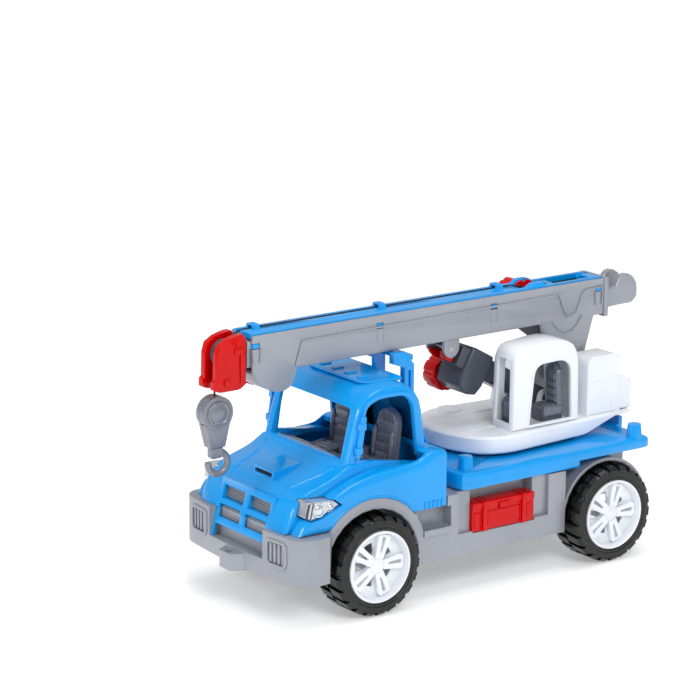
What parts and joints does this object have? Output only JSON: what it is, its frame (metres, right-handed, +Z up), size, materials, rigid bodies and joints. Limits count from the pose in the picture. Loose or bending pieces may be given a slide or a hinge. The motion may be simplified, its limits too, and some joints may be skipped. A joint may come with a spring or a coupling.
{
  "type": "toy mobile crane",
  "caption": "Toy truck crane with an open cab, slewing crane deck, telescopic boom with rack jack, winch knob and swivel hook.",
  "frame": {"origin": "on the floor, under the middle of the whole toy's length and width", "axes": "+X towards the cab and the boom head, +Y to the truck's left, +Z up"},
  "size_m": [0.506, 0.1968, 0.2655],
  "materials": {
    "blue": "glossy injection-moulded plastic",
    "grey": "satin silver-grey moulded plastic",
    "dark": "satin dark grey moulded plastic",
    "red": "glossy moulded plastic",
    "white": "glossy moulded plastic",
    "tyre": "slightly shiny black soft plastic",
    "lamp": "silvery",
    "steel": "plain steel",
    "cord": "twisted thin cord"
  },
  "bodies": {
    "chassis": {"chassis": "grey", "toolbox_left": "red", "toolbox_right": "red", "cab_shell": "blue", "cab_interior": "dark", "grille_panel": "grey", "headlight_left": "lamp", "headlight_right": "lamp", "deck": "blue", "boom_rest": "blue"},
    "front_wheels": {"front_axle": "steel", "front_left_rim": "white", "front_left_tyre": "tyre", "front_right_rim": "white", "front_right_tyre": "tyre"},
    "rear_wheels": {"rear_axle": "steel", "rear_left_rim": "white", "rear_left_tyre": "tyre", "rear_right_rim": "white", "rear_right_tyre": "tyre"},
    "crane": {"turntable": "white", "crane_cabin": "white", "engine_house": "white", "crane_seat": "dark", "crane_console": "dark", "slew_washer": "steel", "slew_screw": "steel", "boom_foot_pin": "steel", "jack_foot_pin": "steel"},
    "boom": {"boom_outer": "grey", "boom_cover": "blue", "boom_tail": "grey", "jack_head_pin": "steel", "hoist_cord_boom": "cord"},
    "inner_boom": {"inner_boom": "grey", "head_left": "red", "head_right": "red", "head_pin": "steel", "hoist_cord_head": "cord"},
    "sheave": {"head_sheave": "dark"},
    "telescope_knob": {"telescope_knob": "red"},
    "winch": {"winch_drum": "red"},
    "jack_housing": {"jack_housing": "dark"},
    "jack_rod": {"jack_rod": "dark", "jack_clevis": "red"},
    "luff_knob": {"luff_knob": "red"},
    "hoist_fall": {"hoist_cord_fall": "cord"},
    "hook_block": {"hook_block_left": "dark", "hook_block_right": "dark"},
    "hook": {"hook": "dark"}
  },
  "joints": [
    {"name": "front_axle_spin", "type": "hinge", "parent": "chassis", "child": "front_wheels", "pos_m": [0.121, 0, 0.0475], "axis": [0, 1, 0], "continuous": true},
    {"name": "rear_axle_spin", "type": "hinge", "parent": "chassis", "child": "rear_wheels", "pos_m": [-0.159, 0, 0.0475], "axis": [0, 1, 0], "continuous": true},
    {"name": "slew", "type": "hinge", "parent": "chassis", "child": "crane", "pos_m": [-0.114, 0, 0.117], "axis": [0, 0, 1], "range_deg": [-150, 150]},
    {"name": "luff", "type": "hinge", "parent": "crane", "child": "boom", "pos_m": [-0.167, 0, 0.166], "axis": [0, -1, 0], "range_deg": [0, 35]},
    {"name": "jack_tilt", "type": "hinge", "parent": "crane", "child": "jack_housing", "pos_m": [-0.135, 0, 0.15], "axis": [0, -1, 0], "range_deg": [0, 38]},
    {"name": "jack_extend", "type": "slide", "parent": "jack_housing", "child": "jack_rod", "axis": [0.8701, 0, 0.4928], "range_m": [0, 0.0206]},
    {"name": "luff_knob_spin", "type": "hinge", "parent": "jack_housing", "child": "luff_knob", "pos_m": [-0.04558, 0, 0.17881], "axis": [0, 1, 0], "range_deg": [0, 138]},
    {"name": "telescope", "type": "slide", "parent": "boom", "child": "inner_boom", "axis": [1, 0, 0], "range_m": [0, 0.11]},
    {"name": "telescope_knob_spin", "type": "hinge", "parent": "boom", "child": "telescope_knob", "pos_m": [0.181, 0, 0.218], "axis": [0, 1, 0], "range_deg": [0, 702]},
    {"name": "hang", "type": "hinge", "parent": "inner_boom", "child": "hoist_fall", "pos_m": [0.2255, 0, 0.243], "axis": [0, -1, 0], "range_deg": [-35, 0]},
    {"name": "hoist", "type": "slide", "parent": "hoist_fall", "child": "hook_block", "axis": [0, 0, -1], "range_m": [0, 0.04]},
    {"name": "winch_spin", "type": "hinge", "parent": "boom", "child": "winch", "pos_m": [-0.126, 0, 0.248], "axis": [0, 1, 0], "range_deg": [0, 232]},
    {"name": "sheave_spin", "type": "hinge", "parent": "inner_boom", "child": "sheave", "pos_m": [0.2255, 0, 0.243], "axis": [0, 1, 0], "range_deg": [0, 200]},
    {"name": "hook_swivel", "type": "hinge", "parent": "hook_block", "child": "hook", "pos_m": [0.237, 0, 0.15], "axis": [0, 0, 1], "continuous": true}
  ],
  "couplings": [
    {"joint": "jack_tilt", "follows": "luff", "ratio": 1.0798},
    {"joint": "jack_extend", "follows": "luff", "m_per_rad": 0.033408},
    {"joint": "luff_knob_spin", "follows": "luff", "ratio": 3.93},
    {"joint": "hang", "follows": "luff", "ratio": -1},
    {"joint": "telescope_knob_spin", "follows": "telescope", "rad_per_m": 111.11},
    {"joint": "winch_spin", "follows": "hoist", "rad_per_m": 101},
    {"joint": "sheave_spin", "follows": "hoist", "rad_per_m": 86.957}
  ]
}
